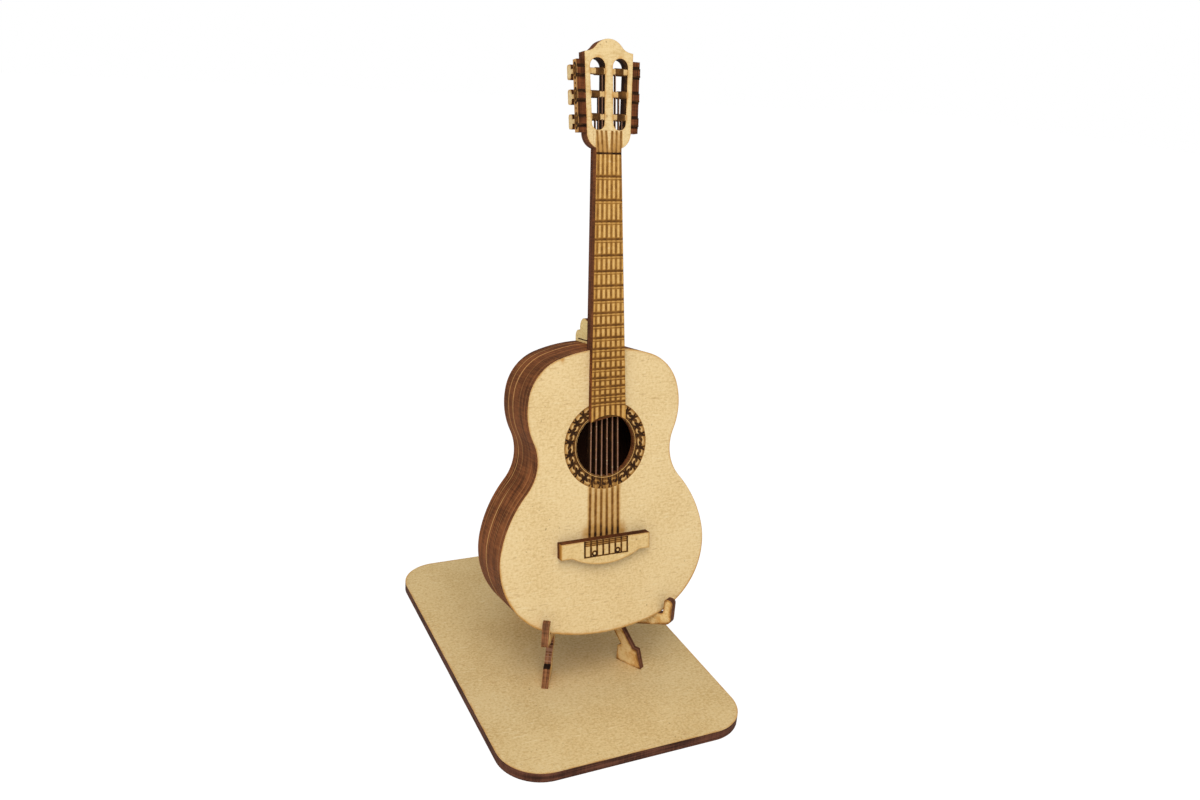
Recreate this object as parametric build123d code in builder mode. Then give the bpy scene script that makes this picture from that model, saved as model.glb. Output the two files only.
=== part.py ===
from build123d import *
import os
from math import asin, atan2, cos, radians, sin, sqrt, tan

# A small show guitar built up from layers of thin board, leaning on a stand of two crossed boards.
# World frame: +Z up, the guitar faces -Y, origin under the middle of the base plate.
# Guitar sizes are taken in the plane of the soundboard: across, and up the neck from the sound hole's centre.

# Sheet stock
sheet = 2.5
board_sheet = 2.7
frame_sheet = 6.2
base_thickness = 3.8
back_sheet = base_thickness
bridge_sheet = base_thickness
plate_sheet = 3.0

# Base plate
base_width = 100.0
base_length = 156.0
base_corner = 17.0

# Place of the stand on the base: the boards cross here, each turned by the splay
stand_x = 2.7
stand_y = 6.0
splay = 30.0

# How the guitar sits on the stand
lean = 10.25
seat_rise = 29.46
seat_gap = 0.5
rest_reach = 21.2
rest_foot = 21.7
rest_gap = 0.15
lip_gap = 0.8

# Stand board: distances forward from the crossing, heights above the base plate
foot_reach = 43.5
rear_reach = 23.0
foot_length = 11.9
foot_rake = 2.6
foot_notch = 1.3
ankle_height = 8.0
ankle_ledge = 2.1
ankle_width = 5.6
strut_lean = 39.6
crotch_height = 17.3
crotch_round = 2.5
arch_height = 16.0
arch_round = 6.0
arm_tip = 5.1
lip_width = 3.8
lip_height = 6.8
lip_round = 1.5
hook_round = 3.0
hook_inner_round = 1.0
rest_height = 66.0
rest_width = 7.5
rest_round = 3.6
hub_height = 31.0
hub_front = 7.5
hub_rear = 6.0
hub_round = 6.0
lap_clearance = 0.1

# Guitar body: arcs of its right half, from the top middle round to the lower bout
body_top = 37.0
top_radius = 59.5
top_angle = 18.5
shoulder_radius = 18.1
shoulder_angle = 56.4
upper_radius = 27.1
upper_angle = 38.7
waist_radius = 18.2
waist_angle = 64.5
flank_radius = 47.4
flank_angle = 27.7
bout_radius = 30.65
bout_angle = 86.8
frame_count = 3
frame_wall = 5.0

# Sound hole, strings and bridge; the strings run, and the bridge sits, a little left of the middle
hole_radius = 12.05
string_count = 6
string_width = 0.8
nut_spread = 8.6
bridge_spread = 12.6
string_drift = -0.8
bridge_shift = -1.5
bridge_top = -35.7
bridge_width = 37.4
bridge_wing = 6.2
bridge_lobe_width = 28.4
bridge_lobe = 3.8

# Neck and slotted head: the nut's place, and rises above it; the slots' room beyond the end rollers
nut_place = 107.5
nut_width = 9.9
fretboard_end_width = 14.3
flare_rise = 1.8
head_low_rise = 6.9
head_low_width = 17.3
shoulder_rise = 34.6
shoulder_width = 19.0
crest_rise = 39.2
crest_radius = 6.4
crest_angle = 52.0
crest_flare_radius = 5.3
crest_flare_angle = 40.0
slot_low_room = 4.45
slot_low_width = 4.9
slot_low_spacing = 8.4
slot_high_room = 4.55
slot_high_width = 5.9
slot_high_spacing = 8.9

# Tuners: roller bars in the slots, plates and buttons at the sides
tuner_count = 3
tuner_rise = 19.6
tuner_pitch = 8.5
roller_rise = 20.35
roller_pitch = 7.8
roller_height = 2.4
roller_string_width = 0.7
roller_string_pitch = 1.4
plate_length = 24.8
plate_depth = 3.6
plate_step = 0.5
plate_lug = 2.9
stem_length = 2.0
stem_height = 1.6
button_depth = 3.3
button_height = 5.2
button_round = 1.0

# Heel: depths behind the neck and heights above the body
heel_height = 20.0
heel_sweep_depth = 11.5
heel_sweep_height = 8.8
heel_sweep_radius = 18.0
heel_bump_depth = 18.0
heel_bump_height = 4.4
heel_bump_radius = 4.2
heel_scroll_height = 1.2
heel_scroll_radius = 3.2

# Values worked out from the sizes above
lean_sin = sin(radians(lean))
lean_cos = cos(radians(lean))
lean_tan = tan(radians(lean))
splay_sin = sin(radians(splay))
splay_cos = cos(radians(splay))
body_depth = sheet + frame_sheet * frame_count + back_sheet
half_edge = board_sheet / 2 * splay_sin
flare_place = nut_place + flare_rise
head_low = nut_place + head_low_rise
shoulder_place = nut_place + shoulder_rise
head_top = nut_place + crest_rise
tuner_place = nut_place + tuner_rise
roller_place = nut_place + roller_rise
roller_reach = roller_pitch * (tuner_count - 1) / 2
slot_low = roller_place - roller_reach - slot_low_room
slot_high = roller_place + roller_reach + slot_high_room


def walk(x, y, heading, radius, turn):
    """Point and heading in degrees after an arc; a positive turn goes to the left."""
    side = 1 if turn > 0 else -1
    end = heading + turn
    x += side * radius * (sin(radians(end)) - sin(radians(heading)))
    y -= side * radius * (cos(radians(end)) - cos(radians(heading)))
    return x, y, end


def body_arcs(inset=0):
    """Radius and turn of each arc of the body's right half; the last one closes on the middle line."""
    arcs = [
        (top_radius - inset, -top_angle),
        (shoulder_radius - inset, -shoulder_angle),
        (upper_radius - inset, -upper_angle),
        (waist_radius + inset, waist_angle),
        (flank_radius - inset, -flank_angle),
        (bout_radius - inset, -bout_angle),
    ]
    x, y, heading = 0, body_top - inset, 0
    for radius, turn in arcs:
        x, y, heading = walk(x, y, heading, radius, turn)
    closing = 180 + heading
    arcs.append((x / sin(radians(closing)), -closing))
    return arcs


def body_bottom():
    """Lowest point of the body outline, on its middle line."""
    x, y, heading = 0, body_top, 0
    for radius, turn in body_arcs():
        x, y, heading = walk(x, y, heading, radius, turn)
    return y


def body_face(inset=0, mode=Mode.ADD):
    """Body outline as a face: a chain of tangent arcs and its mirror image."""
    with BuildLine() as outline:
        start, heading = (0, body_top - inset), (1, 0)
        for radius, turn in body_arcs(inset):
            arc = JernArc(start, heading, radius, turn)
            start, heading = arc @ 1, arc % 1
        mirror(about=Plane.YZ)
    make_face(outline.edges(), mode=mode)


def body_edge(reach):
    """Height and slope of the body's lower outline at a distance from its middle line."""
    bottom_radius, turn = body_arcs()[-1]
    closing = radians(-turn)
    if reach < bottom_radius * sin(closing):
        radius, shift = bottom_radius, 0
    else:
        radius, shift = bout_radius, bottom_radius - bout_radius
    run = reach - shift * sin(closing)
    drop = sqrt(radius**2 - run**2)
    return body_bottom() + bottom_radius - shift * cos(closing) - drop, run / drop


# The back leans on the rests; the soundboard's lower edge sits on the seats, which fixes the soundboard's plane
rest_slope = lean_tan / splay_cos
back_reach = rest_reach + (half_edge + rest_gap) / splay_cos
edge_rise = seat_rise + seat_gap
face_reach = back_reach + body_depth / (lean_cos * splay_cos) - rest_slope * (edge_rise - rest_foot)
edge_place, edge_slope = body_edge(face_reach * splay_sin)
face_y = stand_y - face_reach * splay_cos - edge_place * lean_sin
face_z = base_thickness + edge_rise - edge_place * lean_cos
soundboard_plane = Plane((stand_x, face_y, face_z), x_dir=(1, 0, 0), z_dir=(0, -lean_cos, lean_sin))

# The seat has the slope of the body's underside; the lip stands clear of the soundboard
seat_slope = splay_sin * edge_slope / lean_cos + lean_tan * splay_cos
lip_in = face_reach + (half_edge + lip_gap) / (splay_cos + lean_tan * seat_slope)
lip_out = lip_in + lip_width
seat_front = seat_rise + seat_slope * (lip_in - face_reach)
rest_drop = rest_foot - seat_rise + seat_slope * face_reach
seat_back = (rest_reach + rest_slope * rest_drop) / (1 + rest_slope * seat_slope)
seat_low = seat_rise - seat_slope * (face_reach - seat_back)
rest_top = rest_reach - rest_slope * (rest_height - rest_foot)

# Front and rear legs have the same foot, ankle and strut
strut_slope = tan(radians(strut_lean))
strut_run = strut_slope * (crotch_height - ankle_height)
arch_run = ankle_width + strut_slope * (arch_height - ankle_height)
ankle_front = foot_reach - foot_rake - ankle_ledge
ankle_rear = rear_reach - foot_rake - ankle_ledge
crotch = ankle_front - strut_run
arm_slope = (seat_front - arm_tip - crotch_height) / (lip_in - crotch)
lap_width = board_sheet * (1 + abs(cos(radians(2 * splay)))) / sin(radians(2 * splay)) + 2 * lap_clearance
lap_height = (arch_height + hub_height) / 2


def stand_outline():
    """Profile of a stand board: foot, strut, arm with its lip, backrest, hub, rear leg and arch."""
    corners = [
        ((foot_reach, 0), 0),
        ((foot_reach - foot_rake, ankle_height), 0),
        ((ankle_front, ankle_height), 0),
        ((crotch, crotch_height), crotch_round),
        ((lip_out, crotch_height + arm_slope * (lip_out - crotch)), hook_round),
        ((lip_out, seat_front + lip_height), lip_round),
        ((lip_in, seat_front + lip_height), lip_round),
        ((lip_in, seat_front), hook_inner_round),
        ((seat_back, seat_low), 0),
        ((rest_top, rest_height), rest_round),
        ((rest_top - rest_width, rest_height), rest_round),
        ((hub_front, hub_height), hub_round),
        ((-hub_rear, hub_height), hub_round),
        ((strut_run - ankle_rear, crotch_height), hub_round),
        ((-ankle_rear, ankle_height), 0),
        ((foot_rake - rear_reach, ankle_height), 0),
        ((-rear_reach, 0), 0),
        ((foot_length - rear_reach, 0), 0),
        ((foot_length - rear_reach, ankle_height - foot_notch), 0),
        ((ankle_width - ankle_rear, ankle_height), 0),
        ((arch_run - ankle_rear, arch_height), arch_round),
        ((ankle_front - arch_run, arch_height), arch_round),
        ((ankle_front - ankle_width, ankle_height), 0),
        ((foot_reach - foot_length, ankle_height - foot_notch), 0),
        ((foot_reach - foot_length, 0), 0),
    ]
    with BuildLine() as outline:
        FilletPolyline(*[point for point, _ in corners], radius=[r for _, r in corners], close=True)
    make_face(outline.edges())


def neck_half(place):
    """Half-width of the tapering neck at a height above the sound hole's centre."""
    share = (place - hole_radius) / (nut_place - hole_radius)
    return (fretboard_end_width + (nut_width - fretboard_end_width) * share) / 2


def neck_face(low):
    """Neck and head outline down to a given height: crest, shoulders, tapering sides and neck."""
    with BuildLine() as outline:
        crest = JernArc((0, head_top), (1, 0), crest_radius, -crest_angle)
        flare = JernArc(crest @ 1, crest % 1, crest_flare_radius, crest_flare_angle)
        shoulder = Line(flare @ 1, (shoulder_width / 2, shoulder_place))
        side = Line(shoulder @ 1, (head_low_width / 2, head_low))
        waist = TangentArc(side @ 1, (neck_half(flare_place), flare_place), tangent=side % 1)
        edge = Line(waist @ 1, (neck_half(low), low))
        Line(edge @ 1, (0, low))
        mirror(about=Plane.YZ)
    make_face(outline.edges())


def head_slots():
    """The head's two long slots, with round ends and a slight taper."""
    for side in (-1, 1):
        with BuildSketch(mode=Mode.PRIVATE) as slot:
            with Locations((side * slot_low_spacing / 2, slot_low + slot_low_width / 2)):
                Circle(slot_low_width / 2)
            with Locations((side * slot_high_spacing / 2, slot_high - slot_high_width / 2)):
                Circle(slot_high_width / 2)
            make_hull()
        add(slot.sketch)


def steps(pitch):
    """Heights of the rollers or tuners from the middle one, lowest first."""
    return [pitch * (index - (tuner_count - 1) / 2) for index in range(tuner_count)]


def roller_strips():
    """Roller bars across the slots, and under each bar the string strip that runs down to the slot's foot."""
    for index, step in enumerate(steps(roller_pitch)):
        place = roller_place + step
        with Locations((0, place)):
            Rectangle(shoulder_width, roller_height, mode=Mode.SUBTRACT)
        offset = roller_string_pitch * ((tuner_count - 1) / 2 - index)
        for side in (-1, 1):
            with Locations((side * (slot_low_spacing / 2 + offset), slot_low)):
                Rectangle(
                    roller_string_width,
                    place - slot_low,
                    align=(Align.CENTER, Align.MIN),
                    mode=Mode.SUBTRACT,
                )


def string_place(index, place):
    """Distance of a string from the middle line at a height: the strings spread and drift from nut to bridge."""
    share = (nut_place - place) / (nut_place - bridge_top)
    spread = nut_spread + (bridge_spread - nut_spread) * share
    return spread * (index / (string_count - 1) - 0.5) + string_drift * share


def hole_strings():
    """Strips left standing across the sound hole, one for each string."""
    half = string_width / 2
    for index in range(string_count):
        high = string_place(index, hole_radius)
        low = string_place(index, -hole_radius)
        with BuildLine() as strip:
            Polyline(
                (high - half, hole_radius),
                (high + half, hole_radius),
                (low + half, -hole_radius),
                (low - half, -hole_radius),
                close=True,
            )
        make_face(strip.edges(), mode=Mode.SUBTRACT)


def tuner_outline():
    """Tuner plate seen from the side: stepped front edge, and T-shaped buttons on the rear edge."""
    with Locations((plate_step, 0)):
        Rectangle(plate_depth - plate_step, plate_length, align=(Align.MIN, Align.CENTER))
    for step in steps(tuner_pitch):
        with Locations((0, step)):
            Rectangle(plate_depth, plate_lug, align=(Align.MIN, Align.CENTER))
        with Locations((plate_depth, step)):
            Rectangle(stem_length + button_depth / 2, stem_height, align=(Align.MIN, Align.CENTER))
        with Locations((plate_depth + stem_length + button_depth / 2, step)):
            RectangleRounded(button_depth, button_height, button_round)


os.makedirs("parts", exist_ok=True)

# Base plate
with BuildPart() as base_plate:
    with BuildSketch():
        RectangleRounded(base_width, base_length, base_corner)
    extrude(amount=base_thickness)
base_plate.part.label = "base_plate"
export_step(base_plate.part, "parts/base_plate.step")

# Right stand board, slotted from below to straddle the left one
right_plane = Plane(
    (stand_x, stand_y, base_thickness),
    x_dir=(splay_sin, -splay_cos, 0),
    z_dir=(-splay_cos, -splay_sin, 0),
)
with BuildPart() as stand_board_right:
    with BuildSketch(right_plane):
        stand_outline()
        with Locations((0, lap_height + lap_clearance)):
            Rectangle(lap_width, lap_height, align=(Align.CENTER, Align.MAX), mode=Mode.SUBTRACT)
    extrude(amount=board_sheet / 2, both=True)
stand_board_right.part.label = "stand_board_right"
export_step(stand_board_right.part, "parts/stand_board_right.step")

# Left stand board, slotted from the top
left_plane = Plane(
    (stand_x, stand_y, base_thickness),
    x_dir=(-splay_sin, -splay_cos, 0),
    z_dir=(-splay_cos, splay_sin, 0),
)
with BuildPart() as stand_board_left:
    with BuildSketch(left_plane):
        stand_outline()
        with Locations((0, lap_height)):
            Rectangle(lap_width, rest_height, align=(Align.CENTER, Align.MIN), mode=Mode.SUBTRACT)
    extrude(amount=board_sheet / 2, both=True)
stand_board_left.part.label = "stand_board_left"
export_step(stand_board_left.part, "parts/stand_board_left.step")

# Back plate of the guitar body
with BuildPart() as back_plate:
    with BuildSketch(soundboard_plane.offset(-body_depth)):
        body_face()
    extrude(amount=back_sheet)
back_plate.part.label = "back_plate"
export_step(back_plate.part, "parts/back_plate.step")

# Body frames: open rings stacked between the soundboard and the back
for number in range(1, frame_count + 1):
    with BuildPart() as body_frame:
        with BuildSketch(soundboard_plane.offset(-sheet - frame_sheet * number)):
            body_face()
            body_face(frame_wall, Mode.SUBTRACT)
        extrude(amount=frame_sheet)
    body_frame.part.label = f"body_frame_{number}"
    export_step(body_frame.part, f"parts/body_frame_{number}.step")

# Soundboard with the sound hole and its string strips
with BuildPart() as soundboard:
    with BuildSketch(soundboard_plane.offset(-sheet)):
        body_face()
    extrude(amount=sheet)
    with BuildSketch(soundboard_plane):
        Circle(hole_radius)
        hole_strings()
    extrude(amount=-sheet, mode=Mode.SUBTRACT)
soundboard.part.label = "soundboard"
export_step(soundboard.part, "parts/soundboard.step")

# Neck core: rear layer of neck and head, butted against the soundboard's top edge
with BuildPart() as neck_core:
    with BuildSketch(soundboard_plane.offset(-sheet)):
        neck_face(hole_radius)
        body_face(mode=Mode.SUBTRACT)
    extrude(amount=sheet)
    with BuildSketch(soundboard_plane):
        head_slots()
    extrude(amount=-sheet, mode=Mode.SUBTRACT)
neck_core.part.label = "neck_core"
export_step(neck_core.part, "parts/neck_core.step")

# Fretboard and head plate: front layer, with the rollers and their strings in the slots
with BuildPart() as fretboard:
    with BuildSketch(soundboard_plane):
        neck_face(0)
        Circle(hole_radius, mode=Mode.SUBTRACT)
    extrude(amount=sheet)
    with BuildSketch(soundboard_plane):
        head_slots()
        roller_strips()
    extrude(amount=sheet, mode=Mode.SUBTRACT)
fretboard.part.label = "fretboard"
export_step(fretboard.part, "parts/fretboard.step")

# Bridge: straight wings and a curved lower lobe
bridge_plane = soundboard_plane * Pos(bridge_shift, 0, 0)
with BuildPart() as bridge:
    with BuildSketch(bridge_plane):
        with Locations((0, bridge_top)):
            Rectangle(bridge_width, bridge_wing, align=(Align.CENTER, Align.MAX))
        wing_foot = bridge_top - bridge_wing
        with BuildLine():
            Line((bridge_lobe_width / 2, wing_foot), (-bridge_lobe_width / 2, wing_foot))
            SagittaArc(
                (-bridge_lobe_width / 2, wing_foot),
                (bridge_lobe_width / 2, wing_foot),
                -bridge_lobe,
            )
        make_face()
    extrude(amount=bridge_sheet)
bridge.part.label = "bridge"
export_step(bridge.part, "parts/bridge.step")

# Heel: a scalloped sheet on edge, standing on the body behind the neck
heel_plane = Plane(
    soundboard_plane.from_local_coords((0, body_top, -sheet)),
    x_dir=-soundboard_plane.z_dir,
    z_dir=soundboard_plane.x_dir,
)
heel_depth = body_depth - sheet
with BuildPart() as heel:
    with BuildSketch(heel_plane):
        with BuildLine():
            sweep_end = (heel_sweep_depth, heel_sweep_height)
            bump_end = (heel_bump_depth, heel_bump_height)
            scroll_end = (heel_depth, heel_scroll_height)
            Line((0, 0), (0, heel_height))
            RadiusArc((0, heel_height), sweep_end, -heel_sweep_radius)
            RadiusArc(sweep_end, bump_end, heel_bump_radius)
            RadiusArc(bump_end, scroll_end, heel_scroll_radius)
            Line(scroll_end, (heel_depth, 0))
            Line((heel_depth, 0), (0, 0))
        make_face()
    extrude(amount=sheet / 2, both=True)
heel.part.label = "heel"
export_step(heel.part, "parts/heel.step")

# Tuner plates: glued to the head's tapered sides, front edges flush with the head plate
taper = atan2((shoulder_width - head_low_width) / 2, shoulder_place - head_low)
plate_half = head_low_width / 2 + (tuner_place - head_low) * tan(taper)
across = soundboard_plane.x_dir * cos(taper)
along = soundboard_plane.y_dir * sin(taper)
tuner_right_plane = Plane(
    soundboard_plane.from_local_coords((plate_half, tuner_place, sheet)),
    x_dir=-soundboard_plane.z_dir,
    z_dir=across - along,
)
with BuildPart() as tuner_plate_right:
    with BuildSketch(tuner_right_plane):
        tuner_outline()
    extrude(amount=plate_sheet)
tuner_plate_right.part.label = "tuner_plate_right"
export_step(tuner_plate_right.part, "parts/tuner_plate_right.step")

tuner_left_plane = Plane(
    soundboard_plane.from_local_coords((-plate_half, tuner_place, sheet)),
    x_dir=-soundboard_plane.z_dir,
    z_dir=across + along,
)
with BuildPart() as tuner_plate_left:
    with BuildSketch(tuner_left_plane):
        tuner_outline()
    extrude(amount=-plate_sheet)
tuner_plate_left.part.label = "tuner_plate_left"
export_step(tuner_plate_left.part, "parts/tuner_plate_left.step")
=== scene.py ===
import bpy
import numpy as np
from mathutils import Matrix


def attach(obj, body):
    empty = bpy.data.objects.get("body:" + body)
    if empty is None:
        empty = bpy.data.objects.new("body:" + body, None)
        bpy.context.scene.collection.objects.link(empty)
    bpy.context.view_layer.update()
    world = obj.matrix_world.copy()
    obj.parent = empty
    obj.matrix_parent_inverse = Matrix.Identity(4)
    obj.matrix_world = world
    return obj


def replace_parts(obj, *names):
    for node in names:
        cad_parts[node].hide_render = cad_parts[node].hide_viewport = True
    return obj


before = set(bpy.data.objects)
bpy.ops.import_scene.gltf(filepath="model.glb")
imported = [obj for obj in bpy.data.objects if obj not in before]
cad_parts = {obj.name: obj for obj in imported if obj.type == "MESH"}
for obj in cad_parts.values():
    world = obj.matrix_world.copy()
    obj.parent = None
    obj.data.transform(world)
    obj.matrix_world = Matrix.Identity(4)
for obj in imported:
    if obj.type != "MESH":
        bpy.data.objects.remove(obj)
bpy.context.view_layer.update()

# Sizes in millimetres, shared with the CAD solids. Places up the neck are measured from the sound hole's centre.
mm = 0.001
lean = np.radians(10.25)
hole_centre = np.array((2.7, -24.363, 103.616))
stand_crossing = np.array((2.7, 6.0, 3.8))
base_sheet = 3.8
sheet = 2.5
hole_radius = 12.05
body_top = 37.0
neck_start = 12.1
nut_place = 107.5
bridge_top = -35.7

# Directions of the guitar: across its face, up its neck, and out of its face
across = np.array((1.0, 0.0, 0.0))
up_neck = np.array((0.0, np.sin(lean), np.cos(lean)))
out_of_face = np.array((0.0, -np.cos(lean), np.sin(lean)))


def on_guitar(u, v, n):
    """Points in metres from guitar coordinates in millimetres: u across, v up the neck and n out of the face, each
    times its direction, from the centre of the sound hole."""
    u, v, n = np.broadcast_arrays(u, v, n)
    return (hole_centre + u[..., None] * across + v[..., None] * up_neck + n[..., None] * out_of_face) * mm


def ease(x, low, high):
    """Smooth step: 0 below low, 1 above high, 3t^2 - 2t^3 between."""
    t = np.clip((x - low) / (high - low), 0, 1)
    return t * t * (3 - 2 * t)


def near(x, centre, half, soft):
    """Mark of a line: 1 within half its width of the centre, easing to 0 over the soft edge."""
    return 1 - ease(np.abs(x - centre), half, half + soft)


def fade(gap, length):
    """Mark beside a cut: e to the power of minus the gap over a length."""
    return np.exp(-gap / length)


def closed_faces(points, join_rows):
    """Corner indices of a grid's quads and of its two flat caps, which it has where its rows do not join round. The
    volume is the sum of each face's corner products; where it is negative, all faces are turned to look outward."""
    rows, columns = points.shape[:2]
    row, column = np.meshgrid(np.arange(rows if join_rows else rows - 1), np.arange(columns), indexing="ij")
    next_row, next_column = (row + 1) % rows, (column + 1) % columns
    quads = np.stack([row * columns + column, row * columns + next_column,
                      next_row * columns + next_column, next_row * columns + column], -1).reshape(-1, 4)
    ring = np.arange(columns)
    caps = [] if join_rows else [ring[::-1], ring + (rows - 1) * columns]
    flat = points.reshape(-1, 3)
    flat = flat - flat.mean(0)
    a, b, c, d = (flat[quads[:, corner]] for corner in range(4))
    volume = np.einsum("ij,ij->i", a, np.cross(b, c) + np.cross(c, d)).sum()
    for cap in caps:
        p = flat[cap]
        volume += (np.cross(p, np.roll(p, -1, 0)) @ p[0]).sum()
    turn = -1 if volume < 0 else 1
    return quads[:, ::turn], [cap[::turn] for cap in caps]


class Piece:
    """Piece of the guitar, put together from closed grids of points. A grid's columns always join round; its rows join
    round too or end in caps. Each grid has a material, and the marks "burn" and "halo" at its points."""

    crease = np.radians(35.0)

    def __init__(self):
        self.grids, self.looks, self.marks = [], [], {"burn": [], "halo": []}

    def add(self, look, points, burn, halo=0.0, join_rows=False):
        """Adds one grid; a mark may be a number, a row or a whole grid."""
        self.grids.append((points, join_rows))
        self.looks.append(look)
        for mark, value in (("burn", burn), ("halo", halo)):
            self.marks[mark].append(np.broadcast_to(value, points.shape[:2]).ravel())

    def make(self, name):
        """Mesh object of all grids, smooth except where faces meet at more than the crease angle."""
        looks = list(dict.fromkeys(self.looks))
        corners, faces, picks, start = [], [], [], 0
        for (points, join_rows), look in zip(self.grids, self.looks):
            quads, caps = closed_faces(points, join_rows)
            faces += (quads + start).tolist() + [(cap + start).tolist() for cap in caps]
            picks += [looks.index(look)] * (len(quads) + len(caps))
            corners.append(points.reshape(-1, 3))
            start += len(corners[-1])
        mesh = bpy.data.meshes.new(name)
        mesh.from_pydata(np.concatenate(corners).tolist(), [], faces)
        mesh.polygons.foreach_set("use_smooth", np.ones(len(faces), bool))
        mesh.set_sharp_from_angle(angle=self.crease)
        for mark, values in self.marks.items():
            layer = mesh.attributes.new(mark, "FLOAT", "POINT")
            layer.data.foreach_set("value", np.concatenate(values).astype(np.float32))
        for look in looks:
            mesh.materials.append(look)
        mesh.polygons.foreach_set("material_index", picks)
        piece = bpy.data.objects.new(name, mesh)
        bpy.context.scene.collection.objects.link(piece)
        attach(piece, "guitar")
        return piece


def tone(red, green, blue):
    """Linear colour from the usual 0 to 255 values, by the screen's tone curve."""
    c = np.array((red, green, blue)) / 255
    linear = np.where(c <= 0.04045, c / 12.92, ((c + 0.055) / 1.055) ** 2.4)
    return (*map(float, linear), 1.0)


def scaled(colour, factors):
    """Colour times one factor, or times a factor each for red, green and blue, up to full brightness."""
    return (*map(float, np.minimum(np.multiply(colour[:3], factors), 1.0)), 1.0)


class Look:
    """Node tree of a new material or world, built up by short calls; most calls return an output socket."""

    def __init__(self, owner):
        owner.use_nodes = True
        self.owner, self.tree = owner, owner.node_tree
        self.tree.nodes.clear()

    def node(self, kind, inputs=None, **settings):
        """New node; an input is linked where it is a socket, otherwise it is set."""
        made = self.tree.nodes.new(kind)
        for key, value in settings.items():
            setattr(made, key, value)
        for key, value in (inputs or {}).items():
            if isinstance(value, bpy.types.NodeSocket):
                self.tree.links.new(value, made.inputs[key])
            else:
                made.inputs[key].default_value = value
        return made

    def math(self, operation, *values):
        """Result of one sum on numbers or sockets."""
        return self.node("ShaderNodeMath", dict(enumerate(values)), operation=operation).outputs[0]

    def off(self, value, centre):
        """Distance of a value from a centre."""
        return self.math("ABSOLUTE", self.math("SUBTRACT", value, centre))

    def span(self, value, low, high, to_low=0.0, to_high=1.0):
        """Smooth step of a value from one range to another."""
        inputs = {"Value": value, "From Min": low, "From Max": high, "To Min": to_low, "To Max": to_high}
        return self.node("ShaderNodeMapRange", inputs, interpolation_type="SMOOTHSTEP").outputs[0]

    def mix(self, share, first, second):
        """Colour mixed from the first to the second."""
        return self.node("ShaderNodeMix", {0: share, 6: first, 7: second}, data_type="RGBA").outputs[2]

    def ramp(self, value, *stops):
        """Colour by value; each stop is (place, colour)."""
        made = self.node("ShaderNodeValToRGB", {"Fac": value})
        elements = made.color_ramp.elements
        while len(elements) < len(stops):
            elements.new(0.5)
        for element, (place, colour) in zip(elements, stops):
            element.position, element.color = place, colour
        return made.outputs[0]

    def place(self, vector, turn=(0, 0, 0), shift=(0, 0, 0), scale=(1, 1, 1), kind="POINT"):
        """Vector scaled, then turned, then shifted where it is a point."""
        inputs = {"Vector": vector, "Rotation": turn, "Scale": scale}
        if kind == "POINT":
            inputs["Location"] = shift
        return self.node("ShaderNodeMapping", inputs, vector_type=kind).outputs[0]

    def noise(self, vector, scale, detail, rough=0.5):
        """Cloudy noise from 0 to 1; detail is the number of finer layers and rough their share."""
        inputs = {"Vector": vector, "Scale": scale, "Detail": detail, "Roughness": rough}
        return self.node("ShaderNodeTexNoise", inputs).outputs[0]

    def attribute(self, name):
        """Mark of the piece at each point."""
        return self.node("ShaderNodeAttribute", attribute_name=name).outputs["Fac"]

    def parts(self, vector):
        """X, Y and Z of a vector."""
        return self.node("ShaderNodeSeparateXYZ", {0: vector}).outputs


# Colours of the sheet's grain, and of its burns from gold to black
pale_dash, brown_dash, brown_fleck = tone(244, 224, 178), tone(182, 142, 90), tone(140, 105, 62)
scorch_gold, scorch_brown, scorch_black = tone(203, 146, 70), tone(112, 66, 32), tone(74, 44, 26)
burn_gold, burn_brown, burn_black = tone(188, 134, 58), tone(108, 66, 24), tone(36, 20, 11)
ripple_pale, ripple_dark, ledge_black = tone(164, 120, 94), tone(62, 36, 26), tone(24, 14, 11)
toast_brown, seam_gold = tone(178, 116, 52), tone(205, 152, 92)
# hollow_shade_brown is painted shade for the faces inside the hollow body
hollow_shade_brown, soot_black = tone(62, 36, 22), tone(48, 23, 11)
light_grain, dull_grain = np.array((1.07, 1.11, 1.19)), np.array((0.845, 0.79, 0.69))
dark_streak, warm_streak = 0.42, (1.75, 1.8, 1.8)
depth_blend = 0.4


def face_colour(look, local, pale, grain):
    """Colour of a sheet's face, and its speckle: blotches, speckle and fibres add up to a shade from dull to light,
    with long pale and brown dashes and dark flecks over it."""
    blotch = look.noise(local, 45, 3)
    speckle = look.noise(local, 1000, 3, 0.7)
    fibre = look.noise(look.place(local, scale=(420, 900, 1900)), 1.0, 3, 0.6)
    fleck = look.noise(look.place(local, shift=(0.3, 0.1, 0.7)), 750, 1, 0.4)
    dash = look.noise(look.place(local, shift=(0.5, 0.2, 0.9), scale=(190, 900, 1500)), 1.0, 1, 0.4)
    shade = look.math("ADD", look.span(blotch, 0.3, 0.7, -0.24, 0.24), look.span(speckle, 0.3, 0.7, -0.6, 0.6))
    shade = look.math("ADD", shade, look.span(fibre, 0.3, 0.7, -0.4, 0.4))
    dull, light = scaled(pale, dull_grain**grain), scaled(pale, light_grain**grain)
    face = look.ramp(look.span(shade, -1.2, 1.2), (0.0, dull), (0.5, pale), (1.0, light))
    face = look.mix(look.span(dash, 0.66, 0.76, 0.0, 0.42), face, brown_dash)
    face = look.mix(look.span(dash, 0.24, 0.36, 0.4, 0.0), face, pale_dash)
    return look.mix(look.span(fleck, 0.7, 0.8, 0.0, 0.55), face, brown_fleck), speckle


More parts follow.
